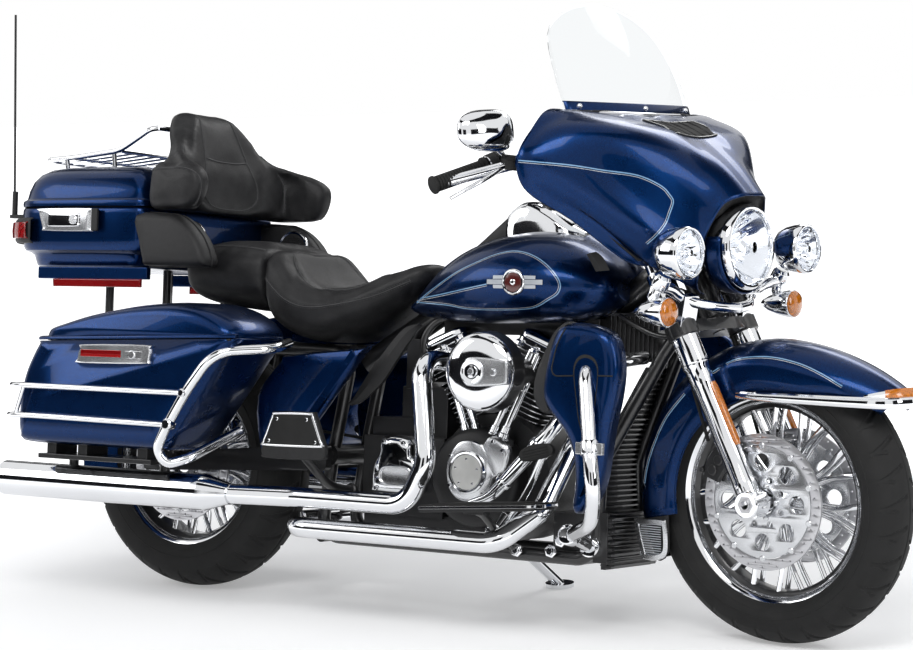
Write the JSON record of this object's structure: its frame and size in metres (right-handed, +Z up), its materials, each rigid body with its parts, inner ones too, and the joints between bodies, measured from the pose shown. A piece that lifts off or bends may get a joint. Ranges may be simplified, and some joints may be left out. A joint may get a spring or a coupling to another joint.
{
  "type": "touring cruiser motorcycle",
  "caption": "Touring cruiser motorcycle with a fork mounted fairing, an open V-twin engine, hard saddlebags and a top box, leaning on its side stand.",
  "frame": {"origin": "centre of the bounding box, on the ground", "axes": "+X forward, +Y to the left, +Z up"},
  "size_m": [2.4502, 1.074, 1.4896],
  "materials": {
    "amber_lens": "translucent",
    "black_leather": "grained",
    "black_paint": "satin black",
    "black_plastic": "fine grain",
    "blue_paint": "deep metallic gloss",
    "blue_shell": "deep metallic gloss",
    "bright_chrome": "polished",
    "clear_screen": "clear",
    "disc_steel": "ground",
    "engine_alloy": "black with bright edges",
    "grip_rubber": "ribbed",
    "lamp_glass": "clear",
    "red_lens": "translucent",
    "tyre_rubber": "matt black"
  },
  "bodies": {
    "chassis": {"frame": "black_paint", "swingarm": "black_paint", "rear_shocks": "black_paint", "rear_axle": "disc_steel", "engine_case": "engine_alloy", "cylinders": "engine_alloy", "engine_covers": "bright_chrome", "primary_cover": "bright_chrome", "air_cleaner": "bright_chrome", "exhausts": "bright_chrome", "fuel_tank": "blue_paint", "console": "bright_chrome", "seat": "black_leather", "side_covers": "blue_shell", "rear_fender": "blue_paint", "saddlebags": "blue_shell", "plate_holder": "black_plastic", "tail_lamps": "red_lens", "drive_belt": "grip_rubber", "oil_cooler": "black_paint", "bag_guards": "bright_chrome", "top_box_body": "blue_shell", "speaker_pods": "black_plastic", "engine_guard": "bright_chrome", "lower_fairings": "blue_shell", "footboards": "black_plastic", "foot_controls": "bright_chrome", "antenna": "black_plastic"},
    "fork": {"fork": "bright_chrome", "front_axle": "disc_steel", "front_fender": "blue_paint", "fender_trim": "bright_chrome", "brake_calipers": "black_paint", "fairing": "blue_shell", "instrument_panel": "black_plastic", "windscreen": "clear_screen", "lamp_housings": "bright_chrome", "lamp_lenses": "lamp_glass", "signal_lenses": "amber_lens", "handlebar": "bright_chrome", "grips": "grip_rubber", "hand_controls": "bright_chrome", "mirrors": "bright_chrome", "brake_lines": "grip_rubber"},
    "front_wheel": {"front_tyre": "tyre_rubber", "front_rim": "bright_chrome", "front_discs": "disc_steel"},
    "rear_wheel": {"rear_tyre": "tyre_rubber", "rear_rim": "bright_chrome", "rear_disc": "disc_steel"},
    "side_stand": {"side_stand": "bright_chrome"},
    "bag_lid_left": {"bag_lid_left": "blue_shell"},
    "bag_lid_right": {"bag_lid_right": "blue_shell"},
    "top_box_lid": {"top_box_lid": "blue_shell", "backrest": "black_leather", "luggage_rack": "bright_chrome"}
  },
  "joints": [
    {"name": "steering", "type": "hinge", "parent": "chassis", "child": "fork", "pos_m": [0.72112, -0.02472, 0.68096], "axis": [-0.4393, 0.1251, 0.8896], "range_deg": [-20.5, 39.5]},
    {"name": "front_wheel_spin", "type": "hinge", "parent": "fork", "child": "front_wheel", "pos_m": [0.88577, -0.07346, 0.31948], "axis": [0.1484, 0.9868, -0.0655], "continuous": true},
    {"name": "rear_wheel_spin", "type": "hinge", "parent": "chassis", "child": "rear_wheel", "pos_m": [-0.73938, -0.07552, 0.31796], "axis": [0.0001, 0.9903, -0.1392], "continuous": true},
    {"name": "side_stand_hinge", "type": "hinge", "parent": "chassis", "child": "side_stand", "pos_m": [0.0933, 0.07393, 0.14636], "axis": [0.0865, 0.7043, 0.7046], "range_deg": [0, 96.03]},
    {"name": "bag_lid_left_hinge", "type": "hinge", "parent": "chassis", "child": "bag_lid_left", "pos_m": [-0.65514, 0.42032, 0.56242], "axis": [-0.9985, -0.0075, -0.0547], "range_deg": [0, 80]},
    {"name": "bag_lid_right_hinge", "type": "hinge", "parent": "chassis", "child": "bag_lid_right", "pos_m": [-0.65528, -0.48479, 0.68962], "axis": [0.9985, 0.0075, 0.0547], "range_deg": [0, 80]},
    {"name": "top_box_lid_hinge", "type": "hinge", "parent": "chassis", "child": "top_box_lid", "pos_m": [-0.96202, 0.30271, 0.91085], "axis": [-1, 0, -0.0011], "range_deg": [0, 75]}
  ]
}
